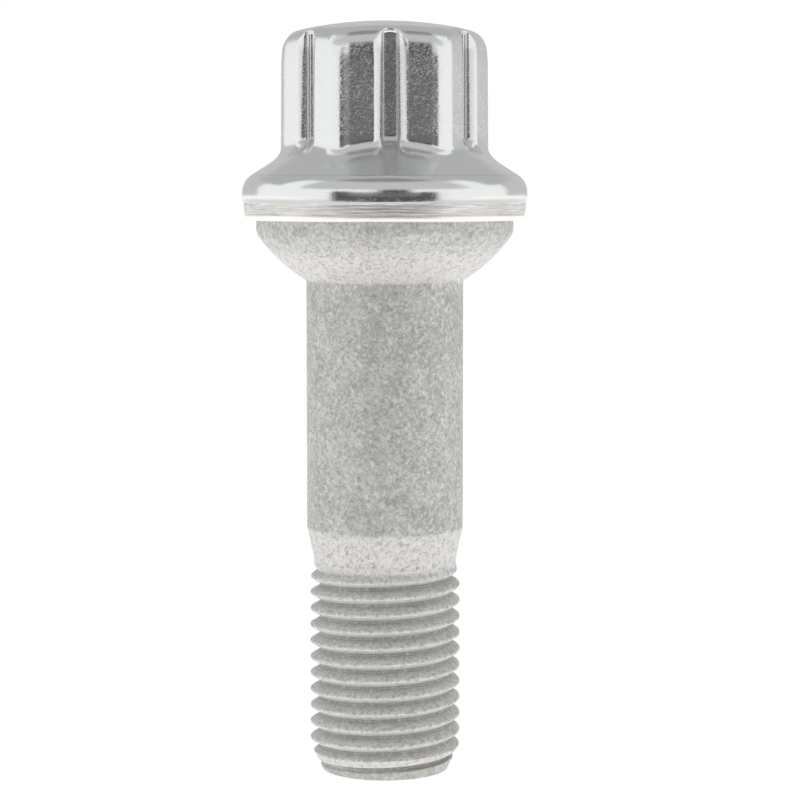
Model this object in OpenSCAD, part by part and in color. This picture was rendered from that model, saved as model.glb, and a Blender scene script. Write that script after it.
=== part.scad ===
// Wheel bolt with a ball seat, and the deep-drawn cap that is rolled on over its hexagon head.
// The bolt stands on its threaded end: z = 0 is the end face, and +Z runs up the axis to the top of the cap.

/* [Thread] */
// Outer diameter of the thread
thread_d = 14; // [12:0.5:16]
// Height of one turn of the thread
thread_pitch = 1.5; // [1:0.05:2]
// Length from the end face to the last full turn
thread_len = 16.6; // [6:0.1:17]
// Length over which the thread fades out
runout_len = 1.9; // [1:0.1:3]
// Height of the first full crest on the +X side above the end face
crest_start = 0.62; // [0:0.01:2]
// Diameter of the flat end face
end_d = 11.5; // [8:0.1:12]
// Height of the chamfer that leads the thread in
end_chamfer_h = 2.3; // [1:0.1:4]

/* [Shank] */
// Length from the end face to the lower edge of the ball seat
stem_len = 45; // [40:0.5:70]
// Diameter of the plain shank
shank_d = 14.3; // [13.5:0.1:16]
// Length of the plain shank above its taper
shank_len = 22.4; // [10:0.1:23]
// Diameter of the neck between thread and taper
neck_d = 13; // [12.5:0.1:13.4]
// Height of the taper from shank to neck
taper_h = 3; // [2:0.1:4]

/* [Ball seat] */
// Radius of the ball that the seat is part of
seat_r = 14; // [13:0.1:16]
// Diameter of the short round collar above the ball
collar_d = 23.4; // [21:0.1:24]
// Round between ball and collar
collar_round = 1.5; // [0.8:0.1:2]
// Height from the lower edge of the seat to the underside of the rolled edge
seat_h = 5.5; // [5:0.1:8]

/* [Head] */
// Width across flats of the finished head
across_flats = 17; // [16:0.1:19]
// Round on the six corners
corner_round = 2.6; // [1.5:0.1:3]
// Height of the head above the underside of the rolled edge
head_h = 17.9; // [14:0.1:22]
// Radius of the domed top
dome_r = 36; // [25:1:80]
// Round between the flats and the top
shoulder_round = 1.8; // [1:0.1:2.5]
// Steepness where that round stops above the domed top
shoulder_stop = 15; // [12:1:40]
// Round between the corners and the top
corner_shoulder = 2; // [1.5:0.1:3]
// Angle of the turn of the whole hexagon about the axis
hex_turn = 4; // [0:1:30]

/* [Grooves in the flats] */
// Width of each groove between its walls
groove_w = 1.5; // [1:0.1:2.2]
// Depth of each groove below its flat
groove_depth = 0.95; // [0.7:0.05:1.2]
// Round on the two lips of each groove
lip_round = 0.7; // [0.6:0.05:1]
// Round along the floor of each groove
floor_round = 0.3; // [0.1:0.05:0.5]
// Height of the lower end of the grooves above the underside of the rolled edge
groove_start = 6.4; // [6:0.1:8]
// Distance from the top of the dome down to the upper end of the grooves
groove_stop = 1.1; // [0.8:0.1:3]
// Round at both ends of each groove
groove_end_round = 0.8; // [0.3:0.1:1]

/* [Flange] */
// Diameter of the rim
flange_d = 25.9; // [25.4:0.1:30]
// Height of the rim below its upper round
rim_h = 2.5; // [2.2:0.1:4]
// Round between rim and cone
rim_round = 1.85; // [1:0.05:2.2]
// Slope of the cone between rim and hexagon
cone_angle = 32.5; // [20:0.5:40]

/* [Cap] */
// Thickness of the drawn sheet
sheet_t = 0.45; // [0.3:0.05:0.5]
// Room between the sheet and the forged head
cap_room = 0.03; // [0.02:0.01:0.1]
// Round where the lower edge is rolled under the flange
roll_round = 0.4; // [0.2:0.05:0.6]
// Room between the rolled edge and the collar
edge_room = 0.05; // [0.03:0.01:0.2]
// Height of the pressed band above the underside of the rolled edge
band_h = 1.6; // [1.3:0.1:2]
// Depth of the step at the top of the pressed band
band_step = 0.05; // [0.03:0.01:0.1]
// Amount by which the pressed band draws the rim in
band_draw = 0.2; // [0.1:0.02:0.3]
// Height of the rolled edge below its seam
edge_h = 0.5; // [0.4:0.05:0.7]
// Width and depth of the seam
seam = 0.12; // [0.05:0.01:0.15]

/* [Hidden] */

$fn = 96;
turn_steps = 36;
over = 1;

thread_r = thread_d / 2;
root_r = thread_r - 0.6134 * thread_pitch;
crest_w = thread_pitch / 6;
root_w = thread_pitch - crest_w - 2 * (thread_r - root_r) * tan(30);
runout_top = thread_len + runout_len;
fade_depth = thread_pitch / 15;
chamfer_slope = end_chamfer_h / (thread_r - end_d / 2);
turns = ceil((runout_top - crest_start) / thread_pitch) + 3;

shank_r = shank_d / 2;
neck_r = neck_d / 2;
taper_top = stem_len - shank_len;
taper_bottom = taper_top - taper_h;

ball_z = stem_len + sqrt(seat_r * seat_r - shank_r * shank_r);
collar_r = collar_d / 2;
cap_z = stem_len + seat_h;
top_z = cap_z + head_h;

rim_r = flange_d / 2;
rim_top = cap_z + rim_h;
dome_z = top_z - dome_r;
core_inset = sheet_t + cap_room;
core_foot = cap_z + core_inset;

// Each round stands this far out beyond its flat, so the two meet in a fine edge
edge_rise = 0.02;
corner_x = (across_flats / 2 - corner_round + edge_rise) / cos(30);
corner_reach = corner_x + corner_round;

// Points where the rounded corners touch the hexagon that lies edge_rise outside the flats
function hex_points(round_r) = [
    for (i = [0:5], side = [0, 1])
        corner_x * [cos(60 * i + 30), sin(60 * i + 30)]
            + round_r * [cos(60 * (i + side)), sin(60 * (i + side))]
];

module rounded_hexagon(inset) {
    intersection() {
        rotate(30)
            circle(r = (across_flats / 2 - inset) / cos(30), $fn = 6);
        union() {
            polygon(hex_points(corner_round - inset));
            for (i = [0:5])
                rotate(60 * i + 30)
                    translate([corner_x, 0])
                        circle(corner_round - inset);
        }
    }
}

// Section of one groove across its length, open towards +X
module groove_section(inset) {
    wall_x = across_flats / 2;
    half_w = groove_w / 2 + inset;
    floor_x = wall_x - groove_depth - inset;
    floor_r = floor_round + inset;
    lip_r = lip_round - inset;
    lip_x = wall_x - lip_round + edge_rise;
    lip_y = groove_w / 2 + lip_round;
    translate([floor_x + floor_r, -half_w])
        square([wall_x + over - floor_x - floor_r, 2 * half_w]);
    translate([floor_x, floor_r - half_w])
        square([floor_r + over, 2 * (half_w - floor_r)]);
    for (side = [-1, 1])
        translate([floor_x + floor_r, side * (half_w - floor_r)])
            circle(floor_r);
    difference() {
        translate([lip_x, -lip_y])
            square([lip_round + over, 2 * lip_y]);
        for (side = [-1, 1])
            translate([lip_x, side * lip_y])
                circle(lip_r);
    }
}

// Section of one groove along its length, which rounds its two ends
module groove_side(inset) {
    floor_x = across_flats / 2 - groove_depth - inset;
    bottom = cap_z + groove_start - inset;
    top = top_z - groove_stop + inset;
    end_r = groove_end_round + inset;
    reach = across_flats / 2 + over - floor_x;
    translate([floor_x + end_r, bottom])
        square([reach - end_r, top - bottom]);
    translate([floor_x, bottom + end_r])
        square([reach, top - bottom - 2 * end_r]);
    for (z = [bottom + end_r, top - end_r])
        translate([floor_x + end_r, z])
            circle(end_r);
}

module groove_cutter(inset) {
    intersection() {
        translate([0, 0, cap_z])
            linear_extrude(head_h + over)
                groove_section(inset);
        rotate([90, 0, 0])
            translate([0, 0, -groove_w - lip_round - over])
                linear_extrude(2 * (groove_w + lip_round + over))
                    groove_side(inset);
    }
}

// Takes off what stands out beyond the round between one flat and the top
module shoulder_cutter(inset) {
    side = across_flats / 2;
    round_r = shoulder_round - inset;
    round_x = side - shoulder_round + edge_rise;
    dome_drop = dome_r - sqrt(dome_r * dome_r - pow(side - shoulder_round, 2));
    round_z = top_z - dome_drop - shoulder_round;
    stop_x = round_x + round_r * sin(shoulder_stop);
    stop_z = round_z + round_r * cos(shoulder_stop);
    peak_z = stop_z + stop_x * tan(shoulder_stop);
    half = corner_reach + over;
    rotate([90, 0, 0])
        translate([0, 0, -half])
            linear_extrude(2 * half)
                difference() {
                    polygon([
                        [round_x, round_z],
                        [side + 2 * over, round_z],
                        [side + 2 * over, peak_z],
                        [0, peak_z],
                        [stop_x, stop_z]
                    ]);
                    translate([round_x, round_z])
                        circle(round_r);
                }
}

// Half section of the domed top, with the round at the corners
module top_section(inset) {
    reach = corner_reach + edge_rise;
    round_r = corner_shoulder - inset;
    round_x = reach - corner_shoulder;
    inner_r = dome_r - corner_shoulder;
    round_z = dome_z + sqrt(inner_r * inner_r - round_x * round_x);
    lean = asin(round_x / inner_r);
    translate([0, cap_z])
        square([reach - inset, round_z - cap_z]);
    intersection() {
        translate([0, dome_z])
            circle(dome_r - inset, $fn = 360);
        polygon([
            [0, cap_z],
            [round_x, cap_z],
            [round_x, round_z],
            [round_x + dome_r * sin(lean), round_z + dome_r * cos(lean)],
            [0, top_z + dome_r]
        ]);
    }
    translate([round_x, round_z])
        circle(round_r);
}

// Half section of the flange down to the height foot_z
module flange_section(inset, foot_z) {
    round_r = rim_round - inset;
    round_x = rim_r - rim_round;
    peak_r = round_r * sin(cone_angle);
    peak_z = rim_top + round_r * cos(cone_angle);
    apex_z = peak_z + (round_x + peak_r) * tan(cone_angle);
    polygon([
        [0, foot_z],
        [rim_r - band_draw - inset, foot_z],
        [rim_r - band_draw - inset, cap_z + edge_h],
        [rim_r - inset, cap_z + band_h],
        [rim_r - inset, rim_top],
        [round_x + peak_r, peak_z],
        [0, apex_z]
    ]);
    translate([round_x, rim_top])
        intersection() {
            circle(round_r);
            translate([0, cap_z + band_h - rim_top])
                square(rim_r + rim_h);
        }
}

// The head with everything on it, drawn in by inset from the outside of the cap
module head_body(inset, foot_z) {
    rotate(hex_turn - 90)
        difference() {
            intersection() {
                translate([0, 0, cap_z])
                    linear_extrude(head_h + over)
                        rounded_hexagon(inset);
                rotate_extrude()
                    top_section(inset);
            }
            for (i = [0:5])
                rotate(60 * i) {
                    shoulder_cutter(inset);
                    groove_cutter(inset);
                }
        }
    rotate_extrude()
        flange_section(inset, foot_z);
}

// Half section of everything that the rolling and pressing takes off the outside of the rim
module rim_marks() {
    edge_r = rim_r - band_draw;
    seam_z = cap_z + edge_h;
    polygon([
        [edge_r, seam_z],
        [edge_r - seam, seam_z + seam / 2],
        [edge_r - band_step, seam_z + seam],
        [rim_r - band_step, cap_z + band_h],
        [rim_r + over, cap_z + band_h],
        [rim_r + over, seam_z]
    ]);
    difference() {
        translate([edge_r - roll_round, cap_z - over])
            square([band_draw + roll_round + over, edge_h + over]);
        translate([edge_r - roll_round, cap_z + roll_round])
            circle(roll_round);
        translate([0, cap_z + roll_round])
            square([edge_r, edge_h]);
    }
}

// Half section of the plain stem: neck, taper, shank, ball seat and collar
module stem_section() {
    polygon([
        [0, runout_top - fade_depth],
        [neck_r, runout_top - fade_depth],
        [neck_r, taper_bottom],
        [shank_r, taper_top],
        [shank_r, ball_z],
        [0, ball_z]
    ]);
    seat_section();
}

module seat_section() {
    round_x = collar_r - collar_round;
    inner_r = seat_r - collar_round;
    round_z = ball_z - sqrt(inner_r * inner_r - round_x * round_x);
    touch_x = round_x * seat_r / inner_r;
    touch_z = ball_z - (ball_z - round_z) * seat_r / inner_r;
    intersection() {
        translate([0, ball_z])
            circle(seat_r, $fn = 192);
        polygon([
            [0, stem_len],
            [2 * collar_r, stem_len],
            [touch_x, touch_z],
            [round_x, round_z],
            [0, round_z]
        ]);
    }
    translate([round_x, round_z])
        circle(collar_round);
    translate([0, round_z])
        square([collar_r, core_foot + over - round_z]);
}

// Radius of the thread at height z, where full is its radius below the run-out
function faded(full, z) =
    let (share = min(max((z - thread_len) / runout_len, 0), 1))
    full + (neck_r - fade_depth - full) * share;

// Corner points of the thread in one upright column at the angle of step j
function thread_column(j) = [
    for (k = [0 : turns - 1], corner = [0:3])
        let (z = crest_start + thread_pitch * (k - 2 + j / turn_steps))
        let (up = [-crest_w / 2, crest_w / 2, (thread_pitch - root_w) / 2, (thread_pitch + root_w) / 2][corner])
        let (r = faded(corner < 2 ? thread_r : root_r, z + up))
        [r * cos(360 * j / turn_steps), r * sin(360 * j / turn_steps), z + up]
];

// Right-handed threaded rod that runs past both ends of the thread
module thread_rod() {
    rows = 4 * turns;
    seam = (turn_steps - 1) * rows;
    foot = turn_steps * rows;
    points = concat(
        [for (j = [0 : turn_steps - 1]) each thread_column(j)],
        [[0, 0, crest_start - 2 * thread_pitch], [0, 0, runout_top + thread_pitch]]
    );
    sides = [
        for (j = [0 : turn_steps - 2], m = [0 : rows - 2])
            [j * rows + m, j * rows + m + 1, (j + 1) * rows + m + 1, (j + 1) * rows + m]
    ];
    seam_sides = [for (m = [0 : rows - 6]) [seam + m, seam + m + 1, m + 5, m + 4]];
    bottom = [for (j = [0 : turn_steps - 2]) [foot, j * rows, (j + 1) * rows]];
    top = [for (j = [0 : turn_steps - 2]) [foot + 1, (j + 2) * rows - 1, (j + 1) * rows - 1]];
    bottom_step = [for (m = [0:3]) [foot, m + 1, m]];
    top_step = [for (m = [rows - 5 : rows - 2]) [foot + 1, seam + m + 1, seam + m]];
    closing = [
        [foot, seam, 4],
        [foot + 1, rows - 1, seam + rows - 5]
    ];
    polyhedron(points, concat(sides, seam_sides, bottom, top, bottom_step, top_step, closing), convexity = 10);
}

// Half section that trims the threaded rod: flat end and chamfer
module end_section() {
    polygon([
        [0, 0],
        [end_d / 2, 0],
        [thread_r + over, chamfer_slope * (thread_r + over - end_d / 2)],
        [thread_r + over, taper_bottom + over],
        [0, taper_bottom + over]
    ]);
}

module bolt() {
    color("silver") {
        intersection() {
            thread_rod();
            rotate_extrude()
                end_section();
        }
        rotate_extrude()
            stem_section();
        head_body(core_inset, core_foot);
    }
}

module head_cap() {
    color("gainsboro")
        difference() {
            head_body(0, cap_z);
            head_body(sheet_t, cap_z + sheet_t);
            rotate_extrude()
                rim_marks();
            translate([0, 0, cap_z - over])
                cylinder(r = collar_r + edge_room, h = sheet_t + 2 * over);
        }
}

bolt();
head_cap();
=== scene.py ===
import bpy
import math
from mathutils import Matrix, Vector, noise


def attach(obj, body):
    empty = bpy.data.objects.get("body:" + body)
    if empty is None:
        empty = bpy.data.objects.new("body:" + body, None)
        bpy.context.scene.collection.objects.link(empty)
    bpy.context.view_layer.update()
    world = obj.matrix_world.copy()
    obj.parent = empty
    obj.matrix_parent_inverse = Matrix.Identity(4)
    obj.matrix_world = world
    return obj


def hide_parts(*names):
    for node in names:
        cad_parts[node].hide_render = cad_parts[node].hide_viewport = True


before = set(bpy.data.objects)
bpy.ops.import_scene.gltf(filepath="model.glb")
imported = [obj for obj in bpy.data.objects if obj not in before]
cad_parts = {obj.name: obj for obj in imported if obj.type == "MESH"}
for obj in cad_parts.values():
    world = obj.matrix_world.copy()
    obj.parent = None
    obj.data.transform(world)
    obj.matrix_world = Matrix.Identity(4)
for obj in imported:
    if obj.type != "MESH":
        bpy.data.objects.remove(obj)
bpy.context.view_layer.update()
mm = 0.001
print("frame loaded")

# Small helpers


def deselectAll():
    if bpy.context.object and bpy.context.object.mode != "OBJECT":
        bpy.ops.object.mode_set(mode="OBJECT")
    bpy.ops.object.select_all(action="DESELECT")


def activate(piece):
    deselectAll()
    piece.select_set(True)
    bpy.context.view_layer.objects.active = piece


def applyAll(piece):
    activate(piece)
    for modifier in list(piece.modifiers):
        bpy.ops.object.modifier_apply(modifier=modifier.name)


def softMax(a, b, reach):
    h = max(reach - abs(a - b), 0) / reach
    return max(a, b) + h * h * reach / 4


def softMin(a, b, reach):
    return -softMax(-a, -b, reach)


def smoothStep(low, high, x):
    t = min(max((x - low) / (high - low), 0), 1)
    return t * t * (3 - 2 * t)


def selectOpenEdge(piece, test):
    # Edit mode on the piece, with the vertices of the open edge that passes the test selected
    activate(piece)
    bpy.ops.object.mode_set(mode="EDIT")
    bpy.ops.mesh.select_mode(type="VERT")
    bpy.ops.mesh.select_all(action="DESELECT")
    bpy.ops.mesh.select_non_manifold(extend=False, use_wire=False, use_boundary=True,
                                     use_multi_face=False, use_non_contiguous=False, use_verts=False)
    bpy.ops.object.mode_set(mode="OBJECT")
    found = {vertex.index for vertex in piece.data.vertices if vertex.select and test(vertex.co)}
    bpy.ops.object.mode_set(mode="EDIT")
    bpy.ops.mesh.select_all(action="DESELECT")
    bpy.ops.object.mode_set(mode="OBJECT")
    for vertex in piece.data.vertices:
        vertex.select = vertex.index in found
    bpy.ops.object.mode_set(mode="EDIT")


def drawOn(x, z):
    # Extrudes what is selected by x and z in metres
    bpy.ops.mesh.extrude_region_move(TRANSFORM_OT_translate={"value": (x, 0, z)})


def traceOutline(name, outline):
    # One vertex of a plane, extruded from point to point (x, z in mm)
    deselectAll()
    bpy.ops.mesh.primitive_plane_add(size=mm, location=(0, 0, 0))
    piece = bpy.context.object
    piece.name = name
    piece.data.name = name
    bpy.ops.object.mode_set(mode="EDIT")
    bpy.ops.mesh.select_all(action="SELECT")
    bpy.ops.mesh.merge(type="CENTER")
    bpy.ops.transform.translate(value=(outline[0][0] * mm, 0, outline[0][1] * mm))
    for (x0, z0), (x1, z1) in zip(outline, outline[1:]):
        drawOn((x1 - x0) * mm, (z1 - z0) * mm)
    bpy.ops.object.mode_set(mode="OBJECT")
    return piece


def cutLevel(z, keepAbove, fill):
    # In edit mode: cuts the mesh at a level in mm and keeps one side of it
    bpy.ops.mesh.select_all(action="SELECT")
    bpy.ops.mesh.bisect(plane_co=(0, 0, z * mm), plane_no=(0, 0, 1), use_fill=fill,
                        clear_inner=keepAbove, clear_outer=not keepAbove, threshold=1e-8)


def scaleRing(share, z):
    # Scales what is selected about the axis, at a level in mm
    bpy.ops.transform.resize(value=(share, share, 1), center_override=(0, 0, z * mm))


def closeRing():
    # Closes the selected ring with a flat fan
    drawOn(0, 0)
    bpy.ops.mesh.merge(type="CENTER")


def makeOutward(piece, mergeBelow=1e-7):
    activate(piece)
    bpy.ops.object.mode_set(mode="EDIT")
    bpy.ops.mesh.select_all(action="SELECT")
    bpy.ops.mesh.remove_doubles(threshold=mergeBelow)
    bpy.ops.mesh.select_all(action="SELECT")
    bpy.ops.mesh.normals_make_consistent(inside=False)
    bpy.ops.object.mode_set(mode="OBJECT")


def smoothAt(piece, degrees):
    activate(piece)
    bpy.ops.object.shade_smooth_by_angle(angle=math.radians(degrees), keep_sharp_edges=True)


# Node groups and small node helpers


def newGroup(name, inputs, outputs):
    group = bpy.data.node_groups.new(name, "ShaderNodeTree")
    for label, kind, value in inputs:
        socket = group.interface.new_socket(label, in_out="INPUT", socket_type=kind)
        if value is not None:
            socket.default_value = value
    for label, kind in outputs:
        group.interface.new_socket(label, in_out="OUTPUT", socket_type=kind)
    return group, group.nodes.new("NodeGroupInput"), group.nodes.new("NodeGroupOutput")


def connect(tree, target, label, source):
    # source is a number, a colour, a node (its first output) or a (node, output) pair
    socket = target.inputs[label]
    if isinstance(source, (int, float)):
        socket.default_value = source
    elif isinstance(source, tuple) and not isinstance(source[0], bpy.types.Node):
        socket.default_value = source
    elif isinstance(source, tuple):
        tree.links.new(source[0].outputs[source[1]], socket)
    else:
        tree.links.new(source.outputs[0], socket)


def maths(tree, operation, a, b=0.0, c=0.0, clamp=False):
    node = tree.nodes.new("ShaderNodeMath")
    node.operation = operation
    node.use_clamp = clamp
    for index, value in enumerate((a, b, c)):
        connect(tree, node, index, value)
    return node


def ramp(tree, source, fromLow, fromHigh, toLow=0.0, toHigh=1.0):
    node = tree.nodes.new("ShaderNodeMapRange")
    node.interpolation_type = "SMOOTHSTEP"
    for label, value in (("Value", source), ("From Min", fromLow), ("From Max", fromHigh),
                         ("To Min", toLow), ("To Max", toHigh)):
        connect(tree, node, label, value)
    return node


def mixColour(tree, amount, a, b):
    node = tree.nodes.new("ShaderNodeMix")
    node.data_type = "RGBA"
    connect(tree, node, "Factor", amount)
    connect(tree, node, 6, a)
    connect(tree, node, 7, b)
    return (node, 2)


def mixFloat(tree, amount, a, b):
    node = tree.nodes.new("ShaderNodeMix")
    node.data_type = "FLOAT"
    connect(tree, node, 0, amount)
    connect(tree, node, 2, a)
    connect(tree, node, 3, b)
    return node


def noiseField(tree, vector, scale, detail, roughness, distortion=0.0):
    node = tree.nodes.new("ShaderNodeTexNoise")
    connect(tree, node, "Vector", vector)
    node.inputs["Scale"].default_value = scale
    node.inputs["Detail"].default_value = detail
    node.inputs["Roughness"].default_value = roughness
    node.inputs["Distortion"].default_value = distortion
    return node


def product(tree, first, *others):
    node = first
    for other in others:
        node = maths(tree, "MULTIPLY", node, other)
    return node


def stretched(tree, vector, scale):
    node = tree.nodes.new("ShaderNodeMapping")
    node.inputs["Scale"].default_value = scale
    connect(tree, node, "Vector", vector)
    return node


def objectPlace(tree):
    # Object coordinates, their split, and the distance from the bolt's axis
    place = (tree.nodes.new("ShaderNodeTexCoord"), "Object")
    split = tree.nodes.new("ShaderNodeSeparateXYZ")
    connect(tree, split, 0, place)
    squares = [maths(tree, "MULTIPLY", (split, axis), (split, axis)) for axis in "XY"]
    return place, (split, "Z"), maths(tree, "SQRT", maths(tree, "ADD", *squares))


def speckleNode(tree, group, vector):
    node = tree.nodes.new("ShaderNodeGroup")
    node.node_tree = group
    connect(tree, node, "Vector", vector)
    return node


def addBump(tree, shader, strength, distance, height):
    node = tree.nodes.new("ShaderNodeBump")
    node.inputs["Strength"].default_value = strength
    node.inputs["Distance"].default_value = distance
    connect(tree, node, "Height", height)
    connect(tree, shader, "Normal", node)


# The drawn cap: hexagon with six grooves, cone, rim, pressed band and rolled edge. All is in mm and
# degrees, but mergeBelow is in metres.
cap = {
    "acrossFlats": 17.0,
    "cornerRound": 2.6,
    "flatShoulder": 1.8,
    "cornerShoulder": 2.2,
    "cornerBlend": 0.5,
    "draft": 0.008,
    "draftFrom": 57,
    "draftFade": 0.6,
    "domeR": 36.0,
    "topZ": 68.4,
    "turnDegrees": 4.0,
    "grooveHalf": 0.68,
    "grooveDepth": 0.95,
    "lipEdge": 1.52,
    "lipInner": 0.74,
    "lipTurns": (22.0, 49.0),
    "lipRound": 0.2,
    "floorRound": 0.16,
    "grooveTop": 67.32,
    "grooveArch": 1.62,
    "grooveEnd": 0.3,
    "grooveBlend": 0.12,
    "wallLean": 0.02,
    "leadIn": 0.05,
    "leadFrom": 0.7,
    "leadTo": 0.1,
    "edgeBlend": 0.07,
    "footZ": 58.4,
    "footStep": 0.125,
    "footFlat": 1.45,
    "footCorner": 1.1,
    "footGroove": 0.5,
    "footGrooveDepths": (0.3, 0.9),
    "spread": (57.9, 56.3),
    "coneFoot": (12.094, 54.56),
    "coneSlope": 0.637,
    "coneTurn": 57.5,
    "rimCentre": (11.075, 53.01),
    "rimRound": 1.85,
    "rimTurn": 7.0,
    "rimTuck": -7.9,
    "bandTop": 52.1,
    "bandLead": 0.03,
    "bandStep": 0.05,
    "bandFlare": 1.2,
    "bandR": 12.74,
    "bandUneven": 0.012,
    "bandAround": 3.0,
    "bandAlong": 9.0,
    "bandRings": 0.003,
    "bandRingTurn": 21,
    "bandRingWander": 1.5,
    "seamTop": 51.12,
    "seamZ": 51.05,
    "seamHalf": 0.02,
    "seamDepth": 0.09,
    "edgeOut": 0.01,
    "edgeInset": 0.005,
    "edgeTop": (50.99, 50.95),
    "rollRound": 0.4,
    "rollUneven": 50.6,
    "rollAround": 6.0,
    "rollAlong": 3.0,
    "underZ": 50.5,
    "underR": 12.1,
    "innerR": 11.75,
    "wall": 0.38,
    "tubeR": 10,
    "mergeBelow": 1e-6,
    "sharpAbove": 35,
    # Columns of half a sector: arc of the corner, shares of the flat, arcs of the lip, arc of the floor
    "cornerSteps": 8,
    "flatShares": (0, 0.3, 0.6, 0.88, 0.98),
    "lipSteps": 7,
    "lipRoundSteps": 4,
    "floorSteps": 5,
    "floorColumns": (0.25, 0.0),
    # Rings from the top down: shares of the dome, angles of the shoulder's round, shares of the side
    "domeShares": (0.0, 0.07, 0.16, 0.26, 0.36, 0.46, 0.56, 0.66, 0.76, 0.86, 0.94),
    "shoulderTurns": (11, 14, 17, 20, 23, 26, 30, 34, 39, 44, 49, 54, 59, 64, 70, 76, 83, 90),
    "sideShares": (0.04, 0.1, 0.2, 0.35, 0.5, 0.65, 0.8, 0.92),
    "footRings": 27,
    "coneRings": (54.95, 54.75, 54.55),
    "rimSteps": 12,
    "wallSteps": 8,
    "bandSteps": 15,
    "rollSteps": 7,
}


def halfSector():
    # From the middle of a corner to the middle of a flat: base point, its normal and the groove's depth
    side = cap["acrossFlats"] / 2
    rho = cap["cornerRound"]
    centreU = side - rho
    centreY = centreU * math.tan(math.radians(30))
    points = []
    for i in range(cap["cornerSteps"]):
        a = math.radians(30 * (1 - i / cap["cornerSteps"]))
        c, s = math.cos(a), math.sin(a)
        points.append((centreU + rho * c, centreY + rho * s, c, s, 0.0))

    def onFlat(y, depth):
        points.append((side, y, 1.0, 0.0, depth))

    lipY = cap["lipEdge"]
    for share in cap["flatShares"]:
        onFlat(centreY + (lipY - centreY) * share, 0.0)
    # The lip is a wide arc that goes over into a tight one
    start, end = (math.radians(turn) for turn in cap["lipTurns"])
    wide = (lipY - cap["lipInner"]) / (math.sin(end) - math.sin(start))
    for i in range(cap["lipSteps"]):
        a = start + (end - start) * i / cap["lipSteps"]
        onFlat(lipY - wide * (math.sin(a) - math.sin(start)), wide * (math.cos(start) - math.cos(a)))
    tight = cap["lipRound"]
    depth = wide * (math.cos(start) - math.cos(end))
    for i in range(cap["lipRoundSteps"] + 1):
        a = end + (math.pi / 2 - end) * i / cap["lipRoundSteps"]
        y = cap["lipInner"] - tight * (math.sin(a) - math.sin(end))
        onFlat(y, depth + tight * (math.cos(end) - math.cos(a)))
    floorR = cap["floorRound"]
    for i in range(cap["floorSteps"] + 1):
        a = math.radians(90 * i / cap["floorSteps"])
        y = cap["grooveHalf"] - cap["wallLean"] - floorR * (1 - math.cos(a))
        onFlat(y, cap["grooveDepth"] - floorR * (1 - math.sin(a)))
    for y in cap["floorColumns"]:
        onFlat(y, cap["grooveDepth"])
    return points


def headColumns():
    # All columns round the head in their places: base point, normal, groove, nearness to a corner, and
    # distance from the middle of the groove
    half = halfSector()
    whole = half + [(u, -y, nu, -ny, groove) for u, y, nu, ny, groove in half[-2:0:-1]]
    columns = []
    for i in range(6):
        turn = math.radians(cap["turnDegrees"] - 90 - 60 * i)
        c, s = math.cos(turn), math.sin(turn)
        for u, y, nu, ny, groove in whole:
            base = (u * c - y * s, u * s + y * c)
            normal = (nu * c - ny * s, nu * s + ny * c)
            corner = smoothStep(0.0, cap["cornerBlend"], abs(ny))
            columns.append((base, normal, groove, corner, abs(y)))
    return columns


def domeZ(r):
    centre = cap["topZ"] - cap["domeR"]
    return centre + math.sqrt(cap["domeR"] ** 2 - r * r)


def coneR(z):
    r0, z0 = cap["coneFoot"]
    return r0 - (z - z0) / cap["coneSlope"]


def grooveDepthAt(z, full, lateral):
    # The groove ends at the top in an arch, and its floor comes up in a small round there
    arch = cap["grooveArch"]
    below = cap["grooveTop"] - z - (arch - math.sqrt(max(arch ** 2 - lateral ** 2, 0)))
    if full <= 0 or below <= 0:
        return 0.0
    r = cap["grooveEnd"]
    lift = 0.0 if below >= r else r - math.sqrt(r * r - (r - below) ** 2)
    return max(min(full, cap["grooveDepth"] - lift), 0.0)


def headPoint(column, z, steep):
    # Point of the head's side or shoulder. Steep is the shoulder round's angle from level, None below it.
    (bx, by), (nx, ny), groove, corner, lateral = column
    r = cap["flatShoulder"] + (cap["cornerShoulder"] - cap["flatShoulder"]) * corner
    inner = math.hypot(bx - nx * r, by - ny * r)
    roundZ = domeZ(inner) - r
    if steep is not None:
        a = math.radians(steep)
        z = roundZ + r * math.cos(a)
        back = r * (1 - math.sin(a))
    else:
        back = 0.0
    draft = cap["draft"] * max(z - cap["draftFrom"], 0)
    draft += cap["leadIn"] * smoothStep(roundZ - cap["leadFrom"], roundZ + cap["leadTo"], z)
    depth = back
    if groove > 0:
        depth = softMax(back, grooveDepthAt(z, groove, lateral), cap["grooveBlend"])
    depth += draft * (1 - smoothStep(0, cap["draftFade"], groove))
    x, y = bx - nx * depth, by - ny * depth
    reach = math.hypot(x, y)
    if steep is not None:
        z = softMin(z, domeZ(reach), cap["edgeBlend"])
    return x, y, z, reach, roundZ


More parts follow.
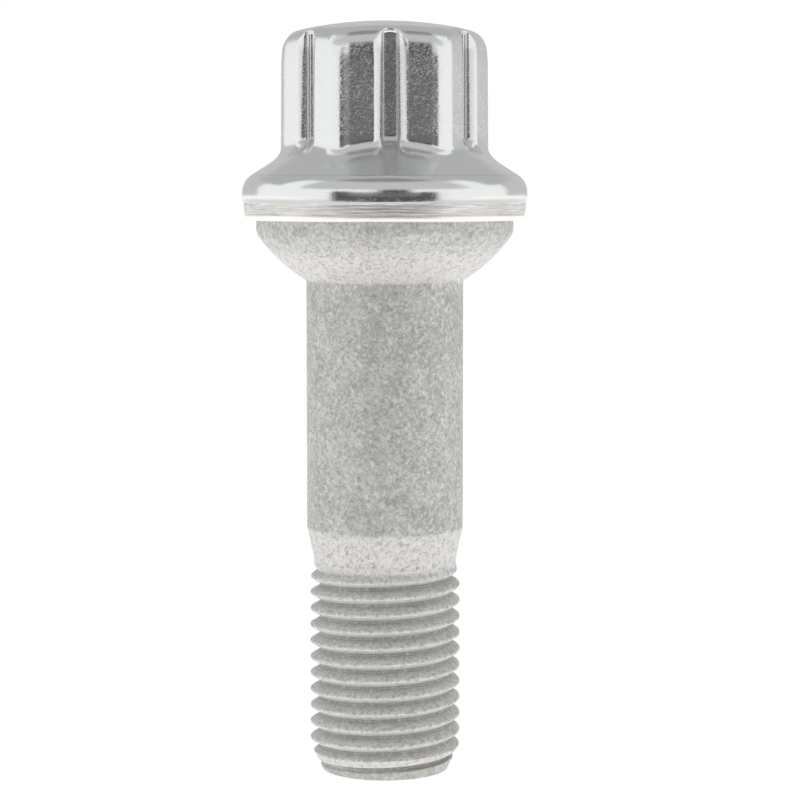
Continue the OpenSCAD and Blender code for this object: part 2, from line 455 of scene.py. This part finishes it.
def headRings():
    # Rings from the top down: each is a function from a column to a point
    def domeRing(share):
        def place(column):
            x, y, _, reach, _ = headPoint(column, 0, cap["shoulderTurns"][0])
            return x * share, y * share, domeZ(reach * share)
        return place

    def shoulderRing(steep):
        def place(column):
            return headPoint(column, 0, steep)[:3]
        return place

    def sideRing(share):
        def place(column):
            roundZ = headPoint(column, 0, 90)[4]
            z = roundZ + (cap["footZ"] - roundZ) * share
            return headPoint(column, z, None)[:3]
        return place

    def footRing(z):
        def place(column):
            x, y, _, reach, _ = headPoint(column, z, None)
            groove, corner = column[2], column[3]
            blend = cap["footFlat"] + (cap["footCorner"] - cap["footFlat"]) * corner
            blend -= cap["footGroove"] * smoothStep(*cap["footGrooveDepths"], groove)
            r = softMax(reach, coneR(z), blend)
            # Towards the cone the columns spread to the even spacing of the plain hexagon
            even = smoothStep(*cap["spread"], z)
            bx, by = column[0]
            plain = math.hypot(bx, by)
            dx = x / reach * (1 - even) + bx / plain * even
            dy = y / reach * (1 - even) + by / plain * even
            length = math.hypot(dx, dy)
            return dx * r / length, dy * r / length, z
        return place

    rings = [domeRing(share) for share in cap["domeShares"]]
    rings += [shoulderRing(steep) for steep in cap["shoulderTurns"]]
    rings += [sideRing(share) for share in cap["sideShares"]]
    rings += [footRing(cap["footZ"] - cap["footStep"] * i) for i in range(cap["footRings"])]
    rings += [footRing(z) for z in cap["coneRings"]]
    return rings


def rimProfile():
    # (r, z) from the foot of the cone down to the inner edge under the flange
    cx, cz = cap["rimCentre"]
    profile = []
    for i in range(cap["rimSteps"] + 1):
        a = math.radians(cap["coneTurn"] + (cap["rimTurn"] - cap["coneTurn"]) * i / cap["rimSteps"])
        profile.append((cx + cap["rimRound"] * math.cos(a), cz + cap["rimRound"] * math.sin(a)))
    # From the round on the wall steepens evenly and turns in a little above the band
    r, z = profile[-1]
    drop = (z - cap["bandTop"] - cap["bandLead"]) / cap["wallSteps"]
    for i in range(1, cap["wallSteps"] + 1):
        tilt = cap["rimTurn"] + (cap["rimTuck"] - cap["rimTurn"]) * i / cap["wallSteps"]
        r += drop * math.tan(math.radians(tilt))
        z -= drop
        profile.append((r, z))
    # The band starts a step further in and flares out towards the seam
    r -= cap["bandStep"]
    top = cap["bandTop"] - cap["bandLead"]
    for i in range(cap["bandSteps"]):
        share = i / cap["bandSteps"]
        flare = (cap["bandR"] - r) * share ** cap["bandFlare"]
        profile.append((r + flare, top + (cap["seamTop"] - top) * share))
    seamR = cap["bandR"] - cap["seamDepth"]
    edgeR = cap["bandR"] + cap["edgeOut"]
    profile += [(cap["bandR"] - cap["edgeInset"], cap["seamTop"]),
                (seamR, cap["seamZ"] + cap["seamHalf"]),
                (seamR, cap["seamZ"] - cap["seamHalf"]),
                (edgeR - cap["edgeInset"], cap["edgeTop"][0]),
                (edgeR, cap["edgeTop"][1])]
    roll = cap["rollRound"]
    for i in range(cap["rollSteps"] + 1):
        a = math.radians(90 * i / cap["rollSteps"])
        profile.append((edgeR - roll + roll * math.cos(a), cap["underZ"] + roll - roll * math.sin(a)))
    profile += [(cap["underR"], cap["underZ"]), (cap["innerR"], cap["underZ"])]
    return profile


def unevenness(a, z):
    # The pressed band keeps fine uneven rings from the rolling, the rolled edge is a little uneven too
    def field(around, along):
        return noise.noise(Vector((math.cos(a) * around, math.sin(a) * around, z * along)))

    if cap["seamTop"] < z < cap["bandTop"]:
        wander = cap["bandRingWander"] * math.sin(a * 2 + 0.7)
        rings = cap["bandRings"] * math.sin(z * cap["bandRingTurn"] + wander)
        return cap["bandUneven"] * field(cap["bandAround"], cap["bandAlong"]) + rings
    if cap["rollUneven"] < z <= cap["seamTop"]:
        return cap["bandUneven"] * field(cap["rollAround"], cap["rollAlong"])
    return 0.0


def makeCap():
    columns = headColumns()
    rings = headRings()
    profile = rimProfile()
    count = len(rings) + len(profile)
    # A straight tube with one ring per level, pressed to shape ring by ring
    tube = traceOutline("pressedCap", [(cap["tubeR"], -i) for i in range(count)])
    activate(tube)
    bpy.ops.object.mode_set(mode="EDIT")
    bpy.ops.mesh.select_all(action="SELECT")
    bpy.ops.mesh.spin(steps=len(columns), angle=math.tau, center=(0, 0, 0), axis=(0, 0, 1),
                      use_auto_merge=True)
    bpy.ops.mesh.select_all(action="SELECT")
    bpy.ops.mesh.remove_doubles(threshold=cap["mergeBelow"])
    bpy.ops.object.mode_set(mode="OBJECT")
    placed = {}
    for level, place in enumerate(rings):
        for index, column in enumerate(columns):
            placed[level, index] = place(column)
    last = rings[-1]
    for level, (r, z) in enumerate(profile, len(rings)):
        for index, column in enumerate(columns):
            x, y, _ = last(column)
            reach = math.hypot(x, y)
            outer = r + unevenness(math.atan2(y, x), z)
            placed[level, index] = (x / reach * outer, y / reach * outer, z)
    # The columns run clockwise, the spin the other way
    for vertex in tube.data.vertices:
        level = round(-vertex.co.z / mm)
        index = round(math.atan2(vertex.co.y, vertex.co.x) / math.tau * len(columns)) % len(columns)
        x, y, z = placed[level, (-index) % len(columns)]
        vertex.co = (x * mm, y * mm, z * mm)
    makeOutward(tube, cap["mergeBelow"])
    wall = tube.modifiers.new("wall", "SOLIDIFY")
    wall.thickness = cap["wall"] * mm
    wall.offset = -1
    applyAll(tube)
    smoothAt(tube, cap["sharpAbove"])
    return tube


headCap = makeCap()
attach(headCap, "root")
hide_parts("head_cap")
print("cap pressed", len(headCap.data.polygons))

# The forged bolt: rolled thread, neck, taper, shank, ball seat and collar in one skin. All is in mm and
# degrees, but mergeBelow is in metres.
bolt = {
    "pitch": 1.5,
    "flankAngle": 30,
    "crestHalf": 0.125,
    "crestR": 6.88,
    "rootR": 6.0,
    "crestZ": 0.62,
    "crestRound": 0.14,
    "rootRound": 0.07,
    "turns": 15,
    "turnsBelow": 2,
    "stepsPerTurn": 120,
    "profileSteps": 16,
    # Roughness of the crests: sizes of a coarse and a fine grain, and how much each moves them
    "grainScale": 1.3,
    "grainStretch": 0.6,
    "grain": 0.035,
    "fineScale": 3.1,
    "fine": 0.03,
    # Shares of the thread's height: what is roughened, what is crest, and what is not root
    "roughHeight": (0.55, 1.0),
    "crestHeight": (0.2, 0.8),
    "rootHeight": (0.0, 0.4),
    # Where crests and roots go over into the neck
    "crestFade": (17.3, 19.2),
    "rootFade": (18.1, 19.1),
    "endR": 5.75,
    "endEdge": 0.97,
    "chamferTop": 2.3,
    "chamferBlend": 0.05,
    "chamferRoom": 0.02,
    "openRoot": 0.2,
    "openRootFrom": (0.3, 0.5),
    "openRootTo": (1.3, 2.2),
    "neckR": 6.54,
    "neckFrom": 19.353,
    "neckRings": (19.42, 19.5),
    "taperFrom": 19.6,
    "taperLength": 3.0,
    "taperRise": 0.65,
    "taperFoot": ((0.015, 19.65), (0.08, 20.0)),
    "taperRings": (20.6, 21.2, 21.8, 22.3),
    "taperHead": (7.135, 22.55),
    "shankR": 7.15,
    "shankFrom": 22.8,
    "shankTo": 44.75,
    "shankSteps": 21,
    "seatFrom": 45.0,
    "seatR": 14.0,
    "seatFoot": ((0.03, 44.93), (0.12, 45.08)),
    "seatInset": 0.3,
    "seatSteps": 12,
    "collarR": 11.7,
    "collarRound": 1.5,
    "collarSteps": 8,
    "collarRings": (50.2, 50.7, 51.3),
    "headFrom": 51.12,
    "halfway": 10,
    "mergeBelow": 4e-6,
    "sharpAbove": 40,
}


def threadRadius(phase):
    # Radius at a share of the pitch above the crest
    away = abs((phase + 0.5) % 1 - 0.5) * bolt["pitch"]
    slope = math.tan(math.radians(bolt["flankAngle"]))
    flank = bolt["crestR"] + bolt["crestHalf"] / slope - away / slope
    return softMin(softMax(flank, bolt["rootR"], bolt["rootRound"]), bolt["crestR"], bolt["crestRound"])


def makeThread():
    # One turn's profile, screwed up from below the end face
    pitch = bolt["pitch"]
    steps = bolt["profileSteps"]
    startZ = bolt["crestZ"] - bolt["turnsBelow"] * pitch
    outline = [(threadRadius(i / steps), startZ + pitch * i / steps) for i in range(steps + 1)]
    rod = traceOutline("rolledBolt", outline)
    screw = rod.modifiers.new("turns", "SCREW")
    screw.screw_offset = pitch * mm
    screw.iterations = bolt["turns"]
    screw.steps = bolt["stepsPerTurn"]
    screw.render_steps = bolt["stepsPerTurn"]
    screw.use_merge_vertices = False
    applyAll(rod)
    makeOutward(rod)
    return rod


def rollThread(rod):
    # Fades the thread out, leads it in by a chamfer and roughens its crests
    slope = bolt["chamferTop"] / (bolt["crestR"] - bolt["endR"])
    for vertex in rod.data.vertices:
        x, y, z = vertex.co / mm
        r = math.hypot(x, y)
        a = math.atan2(y, x)
        height = (r - bolt["rootR"]) / (bolt["crestR"] - bolt["rootR"])
        grain = noise.noise(Vector((x, y, z * bolt["grainStretch"])) * bolt["grainScale"])
        fine = noise.noise(Vector((x, y, z)) * bolt["fineScale"])
        r += (bolt["grain"] * grain + bolt["fine"] * fine) * smoothStep(*bolt["roughHeight"], height)
        high = smoothStep(*bolt["crestHeight"], height)
        share = smoothStep(*bolt["rootFade"], z) * (1 - high) + smoothStep(*bolt["crestFade"], z) * high
        r += (bolt["neckR"] - r) * share
        limit = bolt["endR"] + max(z, 0) / slope + bolt["chamferRoom"]
        r = softMin(r, limit, bolt["chamferBlend"])
        # The last root line stays open in the chamfer
        inChamfer = smoothStep(*bolt["openRootFrom"], z) * (1 - smoothStep(*bolt["openRootTo"], z))
        r -= bolt["openRoot"] * (1 - smoothStep(*bolt["rootHeight"], height)) * inChamfer
        vertex.co = (r * math.cos(a) * mm, r * math.sin(a) * mm, z * mm)


def stemProfile():
    # (r, z) from the neck up to inside the flange
    neckR, shankR, seatR = bolt["neckR"], bolt["shankR"], bolt["seatR"]
    points = [(neckR, z) for z in bolt["neckRings"]]
    points += [(neckR + out, z) for out, z in bolt["taperFoot"]]
    for z in bolt["taperRings"]:
        points.append((neckR + bolt["taperRise"] * (z - bolt["taperFrom"]) / bolt["taperLength"], z))
    points.append(bolt["taperHead"])
    low, high = bolt["shankFrom"], bolt["shankTo"]
    for i in range(bolt["shankSteps"] + 1):
        points.append((shankR, low + (high - low) * i / bolt["shankSteps"]))
    points += [(shankR + out, z) for out, z in bolt["seatFoot"]]
    # The ball of the seat goes over into the collar's round
    ballZ = bolt["seatFrom"] + math.sqrt(seatR ** 2 - shankR ** 2)
    roundR = bolt["collarRound"]
    roundX = bolt["collarR"] - roundR
    start = math.degrees(math.acos((shankR + bolt["seatInset"]) / seatR))
    end = math.degrees(math.acos(roundX / (seatR - roundR)))
    for i in range(bolt["seatSteps"] + 1):
        a = math.radians(start + (end - start) * i / bolt["seatSteps"])
        points.append((seatR * math.cos(a), ballZ - seatR * math.sin(a)))
    roundZ = ballZ - (seatR - roundR) * math.sin(math.radians(end))
    for i in range(1, bolt["collarSteps"] + 1):
        a = math.radians(end * (1 - i / bolt["collarSteps"]))
        points.append((roundX + roundR * math.cos(a), roundZ - roundR * math.sin(a)))
    return points + [(bolt["collarR"], z) for z in bolt["collarRings"]]


def makeBolt():
    rod = makeThread()
    rollThread(rod)
    print("thread rolled", len(rod.data.polygons))
    # Flat end face, and the level top from which the neck goes on
    activate(rod)
    bpy.ops.object.mode_set(mode="EDIT")
    cutLevel(0, keepAbove=True, fill=False)
    cutLevel(bolt["neckFrom"], keepAbove=False, fill=False)
    bpy.ops.mesh.select_all(action="SELECT")
    bpy.ops.mesh.remove_doubles(threshold=bolt["mergeBelow"])
    bpy.ops.object.mode_set(mode="OBJECT")
    return rod


def growStem(rod, profile):
    # The open top edge is drawn up ring by ring into neck, taper, shank, seat and collar
    halfway = bolt["halfway"] * mm
    selectOpenEdge(rod, lambda co: co.z > halfway)
    r, z = bolt["neckR"], bolt["neckFrom"]
    for nextR, nextZ in profile:
        drawOn(0, (nextZ - z) * mm)
        scaleRing(nextR / r, nextZ)
        r, z = nextR, nextZ
    closeRing()
    bpy.ops.object.mode_set(mode="OBJECT")
    # The end face is a flat disc with a ring close to its edge
    selectOpenEdge(rod, lambda co: co.z < halfway)
    drawOn(0, 0)
    scaleRing(bolt["endEdge"], 0)
    closeRing()
    bpy.ops.object.mode_set(mode="OBJECT")
    makeOutward(rod)


def forgedHead():
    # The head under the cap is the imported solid's own, from inside the flange upwards
    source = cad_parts["bolt"]
    head = source.copy()
    head.data = source.data.copy()
    head.name = "forgedHead"
    for collection in source.users_collection:
        collection.objects.link(head)
    head.parent = None
    head.matrix_world.identity()
    activate(head)
    bpy.ops.object.mode_set(mode="EDIT")
    bpy.ops.mesh.select_all(action="SELECT")
    bpy.ops.mesh.remove_doubles(threshold=1e-7)
    cutLevel(bolt["headFrom"], keepAbove=True, fill=True)
    bpy.ops.object.mode_set(mode="OBJECT")
    return head


rolledBolt = makeBolt()
growStem(rolledBolt, stemProfile())
head = forgedHead()
join = rolledBolt.modifiers.new("head", "BOOLEAN")
join.operation = "UNION"
join.solver = "EXACT"
join.object = head
applyAll(rolledBolt)
bpy.data.objects.remove(head)
smoothAt(rolledBolt, bolt["sharpAbove"])
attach(rolledBolt, "root")
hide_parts("bolt")
print("bolt made", len(rolledBolt.data.polygons))

# Noise fields of both finishes: scale, detail, roughness and, where there is a fourth value, distortion
noises = {
    "cloud": (420, 3, 0.6),
    "grain": (2600, 4, 0.75, 0.6),
    "curls": (1500, 2, 0.55, 1.2),
    "specks": (2300, 2, 0.5, 1.0),
    "streaks": (7500, 3, 0.6),
    "patches": (420, 2, 0.5),
    "haze": (8500, 3, 0.65, 0.3),
}

# Scratches and flecks: value at which a field gives lines, their width, and the values of the other
# field between which they come in. The last three are the heights of the bump map.
lines = {
    "scratch": (0.5, 0.030),
    "scratchFrom": (0.46, 0.56),
    "fleck": (0.55, 0.026),
    "fleckFrom": (0.47, 0.58),
    "cloudFrom": (0.3, 0.7),
    "grainHeight": 0.9,
    "scratchHeight": 0.35,
    "fleckHeight": 0.25,
}


def speckleGroup():
    inputs = [("Vector", "NodeSocketVector", None), ("Amount", "NodeSocketFloat", 1.0)]
    labels = ("Cloud", "Grain", "Fleck", "Scratch", "Height")
    group, start, end = newGroup("speckle", inputs, [(label, "NodeSocketFloat") for label in labels])
    vector = (start, "Vector")
    amount = (start, "Amount")
    cloud = noiseField(group, vector, *noises["cloud"])
    grain = noiseField(group, vector, *noises["grain"])
    curls = noiseField(group, vector, *noises["curls"])
    specks = noiseField(group, vector, *noises["specks"])

    def lineAt(source, value, width):
        # Thin curled lines where a noise field crosses a value
        away = maths(group, "ABSOLUTE", maths(group, "SUBTRACT", source, value))
        return ramp(group, away, 0.0, width, 1.0, 0.0)

    # Each kind of line is broken up by the other field
    scratch = product(group, lineAt(curls, *lines["scratch"]), ramp(group, specks, *lines["scratchFrom"]))
    fleck = product(group, lineAt(specks, *lines["fleck"]), ramp(group, curls, *lines["fleckFrom"]))
    height = maths(group, "SUBTRACT", product(group, grain, lines["grainHeight"]),
                   product(group, scratch, lines["scratchHeight"]))
    height = maths(group, "ADD", height, product(group, fleck, lines["fleckHeight"]))
    connect(group, end, "Cloud", ramp(group, cloud, *lines["cloudFrom"]))
    connect(group, end, "Grain", product(group, maths(group, "SUBTRACT", grain, 0.5), amount))
    connect(group, end, "Fleck", product(group, fleck, amount))
    connect(group, end, "Scratch", product(group, scratch, amount))
    connect(group, end, "Height", height)
    return group


# Zinc-flake coating: matte pale grey, cloudy, with small light and dark flecks and scratches.
# A pair says where a mask is none and where it is full: a height or a radius in metres, or the normal's z.
# The Worn and Shown pairs say how strong a mask is at its two ends.
zinc = {
    "pale": (0.63, 0.625, 0.60, 1),
    "dark": (0.51, 0.505, 0.485, 1),
    "fleck": (0.90, 0.90, 0.885, 1),
    "scratch": (0.26, 0.26, 0.25, 1),
    "thread": (0.60, 0.605, 0.575, 1),
    # Painted floor light on the undersides of the turns
    "under": (0.95, 0.92, 0.885, 1),
    # Painted shade in the thread's roots; also used to darken towards the end face
    "root": (0.30, 0.275, 0.255, 1),
    "crest": (0.80, 0.79, 0.77, 1),
    "warm": (0.87, 0.84, 0.81, 1),
    "metallic": 0.35,
    "bump": 0.25,
    "bumpDistance": 0.00012,
    "threadZ": (0.0191, 0.0188),
    "crestR": (0.00630, 0.00660),
    "crestFacing": (-0.75, -0.35),
    "rootR": (0.00616, 0.00604),
    "rootShadeZ": (0.00082, 0.00096),
    "underR": (0.00606, 0.00618),
    "underZ": (0.0008, 0.0012),
    "underFacing": (-0.3, -0.6),
    "endFaceZ": (0.0010, 0.0006),
    "taperLowZ": (0.0188, 0.0191),
    "taperHighZ": (0.0226, 0.0222),
    "seatZ": (0.0449, 0.0452),
    "seatWornZ": (0.0492, 0.0468),
    "seatWorn": (0.15, 0.85),
    "taperWorn": 0.75,
    "grainSwing": 0.16,
    "paleShown": (0.0, 0.7),
    "darkShown": (0.0, 0.62),
    "scratchShare": 0.6,
    "fleckShare": 0.7,
    "crestGrain": (-0.035, 0.035),
    "crestShown": (0.1, 0.9),
    "fleckRoughness": (0.52, 0.36),
    "threadShare": 0.7,
    "threadCalm": 0.3,
    "underShare": 0.65,
    "rootShadeShare": 0.6,
    "endFaceShare": 0.25,
}


def newMaterial(name):
    material = bpy.data.materials.new(name)
    material.use_nodes = True
    return material, material.node_tree, material.node_tree.nodes["Principled BSDF"]


def zincMaterial(speckle):
    material, tree, shader = newMaterial("zincFlake")
    place, z, radius = objectPlace(tree)
    marks = speckleNode(tree, speckle, place)
    split = tree.nodes.new("ShaderNodeSeparateXYZ")
    connect(tree, split, 0, (tree.nodes.new("ShaderNodeNewGeometry"), "Normal"))
    facing = (split, "Z")
    onThread = ramp(tree, z, *zinc["threadZ"])
    # Crests and the upper edges of the flanks are rubbed bright; the roots get painted shade
    crest = product(tree, ramp(tree, radius, *zinc["crestR"]), onThread,
                    ramp(tree, facing, *zinc["crestFacing"]))
    root = product(tree, ramp(tree, radius, *zinc["rootR"]), onThread, ramp(tree, z, *zinc["rootShadeZ"]))
    # Painted light: the undersides of the turns are lightened as if lit by the pale floor below
    under = product(tree, ramp(tree, facing, *zinc["underFacing"]), ramp(tree, radius, *zinc["underR"]),
                    onThread, ramp(tree, z, *zinc["underZ"]))
    calm = product(tree, onThread, zinc["threadCalm"])
    connect(tree, marks, "Amount", maths(tree, "SUBTRACT", 1.0, calm))
    endFace = ramp(tree, z, *zinc["endFaceZ"])
    # Seat and taper are rubbed warm and bright, the seat most in its lower part
    onSeat = product(tree, ramp(tree, z, *zinc["seatZ"]),
                     ramp(tree, z, *zinc["seatWornZ"], *zinc["seatWorn"]))
    onTaper = product(tree, ramp(tree, z, *zinc["taperHighZ"]), ramp(tree, z, *zinc["taperLowZ"]),
                      zinc["taperWorn"])
    body = mixColour(tree, (marks, "Cloud"), zinc["dark"], zinc["pale"])
    body = mixColour(tree, product(tree, onThread, zinc["threadShare"]), body, zinc["thread"])
    body = mixColour(tree, maths(tree, "ADD", onSeat, onTaper, clamp=True), body, zinc["warm"])
    body = mixColour(tree, product(tree, under, zinc["underShare"]), body, zinc["under"])
    # Painted shade in the roots, and a darkening towards the end face, both in the same dark colour
    darkened = maths(tree, "ADD", product(tree, root, zinc["rootShadeShare"]),
                     product(tree, endFace, zinc["endFaceShare"]))
    body = mixColour(tree, darkened, body, zinc["root"])
    # Grain swings the colour both ways, flecks lighten it and scratches darken it
    grain = (marks, "Grain")
    swing = zinc["grainSwing"]
    body = mixColour(tree, ramp(tree, grain, 0.0, swing, *zinc["paleShown"]), body, zinc["fleck"])
    body = mixColour(tree, ramp(tree, grain, 0.0, -swing, *zinc["darkShown"]), body, zinc["scratch"])
    body = mixColour(tree, product(tree, (marks, "Scratch"), zinc["scratchShare"]), body, zinc["scratch"])
    body = mixColour(tree, product(tree, (marks, "Fleck"), zinc["fleckShare"]), body, zinc["fleck"])
    worn = product(tree, crest, ramp(tree, grain, *zinc["crestGrain"], *zinc["crestShown"]))
    body = mixColour(tree, worn, body, zinc["crest"])
    connect(tree, shader, "Base Color", body)
    shader.inputs["Metallic"].default_value = zinc["metallic"]
    # Flecks are smoother than the coating round them
    connect(tree, shader, "Roughness", ramp(tree, (marks, "Fleck"), 0, 1, *zinc["fleckRoughness"]))
    addBump(tree, shader, zinc["bump"], zinc["bumpDistance"], (marks, "Height"))
    return material


# Polished sheet: mirror-bright, with the fine haze of drawing and polishing. Pairs as for the coating.
sheet = {
    "colour": (0.86, 0.87, 0.87, 1),
    "rimLow": (0.62, 0.62, 0.60, 1),
    "band": (0.91, 0.89, 0.855, 1),
    "bandDark": (0.59, 0.575, 0.55, 1),
    # Painted reflection of the white floor on the rolled edge
    "lipFloorReflection": (0.99, 0.97, 0.935, 1),
    "inGroove": (0.72, 0.725, 0.715, 1),
    "roughness": 0.12,
    "cloudRoughness": (-0.03, 0.02),
    "bandRoughness": 0.33,
    "haze": 0.02,
    "hairline": 0.30,
    "hairlineFrom": (0.36, 0.72),
    "hairlineElsewhere": 0.42,
    "hairlineTurn": -32,
    "hairlineStretch": (2.4, 1.0, 1.0),
    "streakStretch": (0.06, 0.06, 1.0),
    "streakFrom": (0.32, 0.70),
    "streakHeight": 0.45,
    "patchStretch": (0.4, 0.4, 1.0),
    "patchFrom": (0.48, 0.70),
    "patchShown": (0.0, 0.45),
    "bump": 0.8,
    "bumpDistance": 0.00008,
    "bandZ": (0.05216, 0.05208),
    "rimLowZ": (0.05262, 0.05225),
    "lipZ": (0.05108, 0.05102),
    "grooveR": (0.00858, 0.00822),
    "grooveHighZ": (0.0663, 0.0655),
    "grooveLowZ": (0.0570, 0.0576),
    "sideHighZ": (0.0670, 0.0664),
    "sideLowZ": (0.0576, 0.0584),
}


def sheetMaterial(speckle):
    material, tree, shader = newMaterial("polishedSheet")
    place, z, radius = objectPlace(tree)
    marks = speckleNode(tree, speckle, place)
    onBand = ramp(tree, z, *sheet["bandZ"])
    streaks = noiseField(tree, stretched(tree, place, sheet["streakStretch"]), *noises["streaks"])
    patches = noiseField(tree, stretched(tree, place, sheet["patchStretch"]), *noises["patches"])
    # Short polishing hairlines that run slantwise
    slanted = tree.nodes.new("ShaderNodeMapping")
    slanted.vector_type = "TEXTURE"
    slanted.inputs["Rotation"].default_value = (0, math.radians(sheet["hairlineTurn"]), 0)
    slanted.inputs["Scale"].default_value = sheet["hairlineStretch"]
    connect(tree, slanted, "Vector", place)
    haze = noiseField(tree, slanted, *noises["haze"])
    # Nearer to the axis than any flat are only the grooves, which are darker inside
    inGroove = product(tree, ramp(tree, radius, *sheet["grooveR"]), ramp(tree, z, *sheet["grooveHighZ"]),
                       ramp(tree, z, *sheet["grooveLowZ"]))
    banded = mixColour(tree, ramp(tree, streaks, *sheet["streakFrom"]), sheet["bandDark"], sheet["band"])
    dull = ramp(tree, patches, *sheet["patchFrom"], *sheet["patchShown"])
    banded = mixColour(tree, dull, banded, sheet["bandDark"])
    colour = mixColour(tree, ramp(tree, z, *sheet["rimLowZ"]), sheet["colour"], sheet["rimLow"])
    colour = mixColour(tree, onBand, colour, banded)
    # Painted reflection: the rolled edge is brighter and cream, as the white floor it mirrors
    colour = mixColour(tree, ramp(tree, z, *sheet["lipZ"]), colour, sheet["lipFloorReflection"])
    colour = mixColour(tree, inGroove, colour, sheet["inGroove"])
    connect(tree, shader, "Base Color", colour)
    shader.inputs["Metallic"].default_value = 1.0
    # The flats have the most hairlines, and the band is duller than the rest
    onSide = product(tree, ramp(tree, z, *sheet["sideLowZ"]), ramp(tree, z, *sheet["sideHighZ"]))
    hairlines = product(tree, ramp(tree, haze, *sheet["hairlineFrom"], 0.0, sheet["hairline"]),
                        ramp(tree, onSide, 0, 1, sheet["hairlineElsewhere"], 1))
    base = sheet["roughness"]
    low, high = (base + more for more in sheet["cloudRoughness"])
    polish = maths(tree, "ADD", ramp(tree, (marks, "Cloud"), 0, 1, low, high), hairlines)
    rough = maths(tree, "ADD", polish, product(tree, onBand, sheet["bandRoughness"] - base))
    connect(tree, shader, "Roughness", rough)
    height = maths(tree, "ADD", product(tree, haze, sheet["haze"]),
                   product(tree, streaks, onBand, sheet["streakHeight"]))
    addBump(tree, shader, sheet["bump"], sheet["bumpDistance"], height)
    return material


def giveMaterial(piece, material):
    piece.data.materials.clear()
    piece.data.materials.append(material)


speckle = speckleGroup()
giveMaterial(rolledBolt, zincMaterial(speckle))
giveMaterial(headCap, sheetMaterial(speckle))
print("materials set")

# Camera: place in mm, tilt in degrees, lens and sensor in mm, shortest and longest sight in metres
view = {
    "place": (1.3815, -236.94, 55.19),
    "tilt": 84.9,
    "lens": 117.0,
    "sensor": 36,
    "nearest": 0.01,
    "farthest": 20,
}
cameraData = bpy.data.cameras.new("camera")
cameraData.lens = view["lens"]
cameraData.sensor_width = view["sensor"]
cameraData.clip_start = view["nearest"]
cameraData.clip_end = view["farthest"]
camera = bpy.data.objects.new("camera", cameraData)
camera.location = [value * mm for value in view["place"]]
camera.rotation_euler = (math.radians(view["tilt"]), 0, 0)
bpy.context.scene.collection.objects.link(camera)
bpy.context.scene.camera = camera

# Table that the bolt stands on, in metres
table = {
    "half": (3, 1.6, 1),
    "middle": (0, 1.4, 0),
    "colour": (0.9, 0.9, 0.9, 1),
    "roughness": 0.9,
    "specular": 0.1,
    "glowColour": (1, 1, 1, 1),
    "glow": 0.55,
}


def makeFloor():
    # The table ends a little in front of the camera, so the cap mirrors the darker room beyond its edge
    deselectAll()
    bpy.ops.mesh.primitive_plane_add(size=2, location=(0, 0, 0))
    floor = bpy.context.object
    floor.name = "studioFloor"
    floor.scale = table["half"]
    floor.location = table["middle"]
    bpy.ops.object.transform_apply(location=True, rotation=True, scale=True)
    material, _, shader = newMaterial("paleFloor")
    shader.inputs["Base Color"].default_value = table["colour"]
    shader.inputs["Roughness"].default_value = table["roughness"]
    shader.inputs["Specular IOR Level"].default_value = table["specular"]
    shader.inputs["Emission Color"].default_value = table["glowColour"]
    shader.inputs["Emission Strength"].default_value = table["glow"]
    floor.data.materials.append(material)


# Light: nearly white all round, with grey and dark fields that the polished cap mirrors.
# Each field has its least and greatest azimuth (0 is towards the viewer, right is positive), its least and
# greatest elevation, the softness of its edges and its brightness. Later fields lie over earlier ones.
studio = {
    "white": 1.0,
    "side": 0.96,
    "top": (-180, 180, 55, 95, 12, 0.48),
    "frontTop": (-75, 75, 20, 64, 10, 0.58),
    "frontHigh": (-70, 70, 63, 95, 16, 0.28),
    "behind": (116, 236, -20, 30, 8, 0.57),
    "behindHigh": (100, 260, 26, 60, 8, 0.48),
    "viewer": (-43, 43, -22, 8, 5, 0.23),
    "bar": (-38, 38, -22, -1, 5, 0.085),
    "barLeft": (-41, -28, -22, 11, 8, 0.085),
    "barRight": (29, 41, -22, 9, 8, 0.085),
    "lamp": (-5, 21, 3, 20, 13, 0.07),
}


def fieldMask(tree, azimuth, elevation, fromA, toA, low, high, soft):
    middle, half, edge = (fromA + toA) / 2, (toA - fromA) / 2, soft / 2
    up = product(tree, ramp(tree, elevation, low - edge, low + edge),
                 ramp(tree, elevation, high - edge, high + edge, 1.0, 0.0))
    # A field that goes all round has no sides
    if half == 180:
        return up
    # The difference to the field's middle, brought into -180 to 180
    away = maths(tree, "WRAP", maths(tree, "SUBTRACT", azimuth, middle), 180.0, -180.0)
    away = maths(tree, "ABSOLUTE", away)
    return product(tree, up, ramp(tree, away, half - edge, half + edge, 1.0, 0.0))


def makeWorld():
    world = bpy.data.worlds.new("studio")
    bpy.context.scene.world = world
    world.use_nodes = True
    tree = world.node_tree
    tree.nodes.clear()
    output = tree.nodes.new("ShaderNodeOutputWorld")
    split = tree.nodes.new("ShaderNodeSeparateXYZ")
    connect(tree, split, 0, (tree.nodes.new("ShaderNodeTexCoord"), "Generated"))
    degrees = 180 / math.pi
    forward = product(tree, (split, "Y"), -1.0)
    azimuth = product(tree, maths(tree, "ARCTAN2", (split, "X"), forward), degrees)
    elevation = product(tree, maths(tree, "ARCSINE", (split, "Z")), degrees)
    level = studio["side"]
    for name in ("top", "frontTop", "frontHigh", "behind", "behindHigh", "viewer", "bar", "barLeft",
                 "barRight", "lamp"):
        *limits, bright = studio[name]
        level = mixFloat(tree, fieldMask(tree, azimuth, elevation, *limits), level, bright)
    # The camera itself sees plain white
    rays = tree.nodes.new("ShaderNodeLightPath")
    seen = mixFloat(tree, (rays, "Is Camera Ray"), level, studio["white"])
    background = tree.nodes.new("ShaderNodeBackground")
    background.inputs["Color"].default_value = (1, 1, 1, 1)
    connect(tree, background, "Strength", seen)
    tree.links.new(background.outputs[0], output.inputs[0])


makeFloor()
makeWorld()
bpy.context.scene.view_settings.view_transform = "Standard"
print("studio set")
